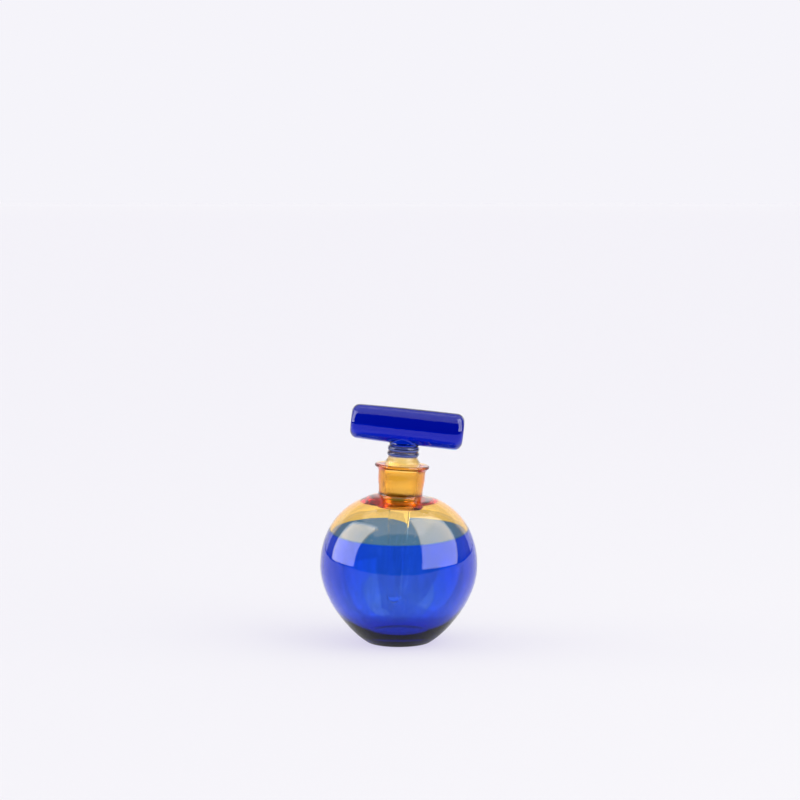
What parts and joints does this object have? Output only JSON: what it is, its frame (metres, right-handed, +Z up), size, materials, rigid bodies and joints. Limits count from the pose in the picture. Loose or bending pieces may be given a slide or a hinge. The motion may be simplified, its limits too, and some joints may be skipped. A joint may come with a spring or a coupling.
{
  "type": "scent bottle with ground stopper",
  "caption": "Apple-shaped blown glass scent bottle, blue below and amber above, with a leaning ground stopper: frosted plug, dabber rod and cobalt bar handle.",
  "frame": {"origin": "centre of the foot, on the surface the bottle stands on", "axes": "+Z up along the body's axis, +X towards the side that the neck and stopper lean to, the bar lies nearly along X"},
  "size_m": [0.0658, 0.0658, 0.1001],
  "materials": {
    "blue_glass": "clear blue, fire polished",
    "amber_glass": "clear amber, fire polished, bore ground",
    "frosted_glass": "ground, fine frosted",
    "clear_glass": "clear, fire polished",
    "cobalt_glass": "dense cobalt, fire polished"
  },
  "bodies": {
    "bottle": {"bowl": "blue_glass", "shoulder": "amber_glass", "neck": "amber_glass", "neck_ring": "amber_glass"},
    "stopper": {"plug": "frosted_glass", "dabber_rod": "clear_glass", "collar": "clear_glass", "handle_boss": "cobalt_glass", "handle_bar": "cobalt_glass"}
  },
  "joints": [
    {"name": "stopper_lift", "type": "slide", "parent": "bottle", "child": "stopper", "axis": [0.0663, 0, 0.9978], "range_m": [0, 0.07]}
  ]
}
